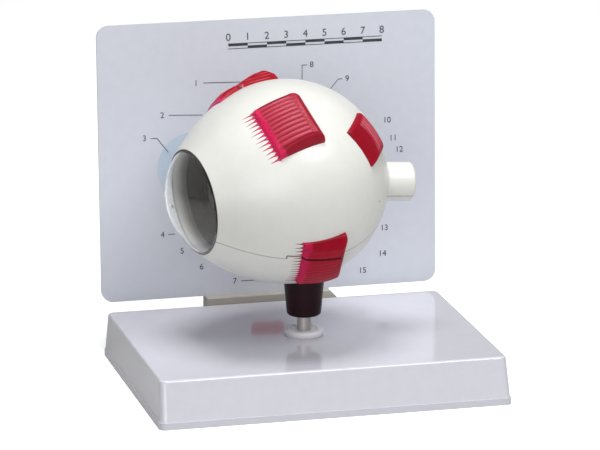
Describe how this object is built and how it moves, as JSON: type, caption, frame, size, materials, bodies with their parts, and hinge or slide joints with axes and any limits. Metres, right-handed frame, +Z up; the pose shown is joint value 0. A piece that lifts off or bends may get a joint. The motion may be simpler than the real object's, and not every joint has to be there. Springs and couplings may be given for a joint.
{
  "type": "eye anatomy desk model",
  "caption": "Desk model of a right eye on a hollow base: ball split into lifting halves over its inner layers, ribbed muscle pads, clear cornea, steel rod, and a slotted-in printed card.",
  "frame": {"origin": "centre of the base's underside, on the table", "axes": "+Z up, +X to the right along the front of the base, +Y back towards the card; the cornea faces -X, turned a little to the front"},
  "size_m": [0.165, 0.1358, 0.1577],
  "materials": {
    "base_white": "glossy moulded styrene, white with a faint lavender tint",
    "bushing_white": "glossy white moulded plastic",
    "holder_grey": "satin grey-beige moulded plastic",
    "steel": "drawn steel rod, satin",
    "card_grey": "semi-gloss laminated board, pale grey",
    "plug_maroon": "dark maroon moulded plastic, low gloss",
    "sclera_white": "lacquered warm white plastic",
    "choroid_brown": "dark red-brown painted layer",
    "retina_orange": "orange-pink painted layer",
    "ciliary_red": "dark red painted plastic",
    "nerve_yellow": "pale yellow painted plastic",
    "cornea_clear": "clear moulded acrylic, polished",
    "iris_brown": "dark brown painted disc",
    "lens_clear": "clear moulded acrylic, polished",
    "artery_red": "red painted plastic",
    "vein_blue": "blue painted plastic",
    "muscle_red": "crimson lacquered plastic, lighter on the ribs"
  },
  "bodies": {
    "base": {"base_shell": "base_white", "rod_bushing": "bushing_white", "bushing_nut": "bushing_white", "card_holder": "holder_grey", "holder_screws": "steel"},
    "card": {"key_card": "card_grey"},
    "post": {"support_rod": "steel"},
    "eye": {"stand_plug": "plug_maroon", "sclera_lower": "sclera_white", "choroid_lower": "choroid_brown", "retina_lower": "retina_orange", "ciliary_body_lower": "ciliary_red", "nerve_core_lower": "nerve_yellow", "cornea": "cornea_clear", "iris": "iris_brown", "lens": "lens_clear", "locating_pegs": "steel", "central_retinal_artery": "artery_red", "central_retinal_vein": "vein_blue", "inferior_rectus": "muscle_red", "inferior_oblique": "muscle_red", "medial_rectus_lower": "muscle_red", "lateral_rectus_lower": "muscle_red"},
    "upper_half": {"sclera_upper": "sclera_white", "choroid_upper": "choroid_brown", "retina_upper": "retina_orange", "ciliary_body_upper": "ciliary_red", "nerve_core_upper": "nerve_yellow", "superior_rectus": "muscle_red", "superior_oblique": "muscle_red", "medial_rectus_upper": "muscle_red", "lateral_rectus_upper": "muscle_red", "lateral_rectus_tendon": "muscle_red"}
  },
  "joints": [
    {"name": "card_lift", "type": "slide", "parent": "base", "child": "card", "axis": [0, 0.0384, 0.9993], "range_m": [0, 0.014]},
    {"name": "post_lift", "type": "slide", "parent": "base", "child": "post", "axis": [0, 0, 1], "range_m": [0, 0.025]},
    {"name": "eye_turn", "type": "hinge", "parent": "post", "child": "eye", "pos_m": [0, 0, 0.045], "axis": [0, 0, 1], "range_deg": [-90, 90]},
    {"name": "upper_lift", "type": "slide", "parent": "eye", "child": "upper_half", "axis": [0.0661, -0.5744, 0.8159], "range_m": [0, 0.06]}
  ]
}
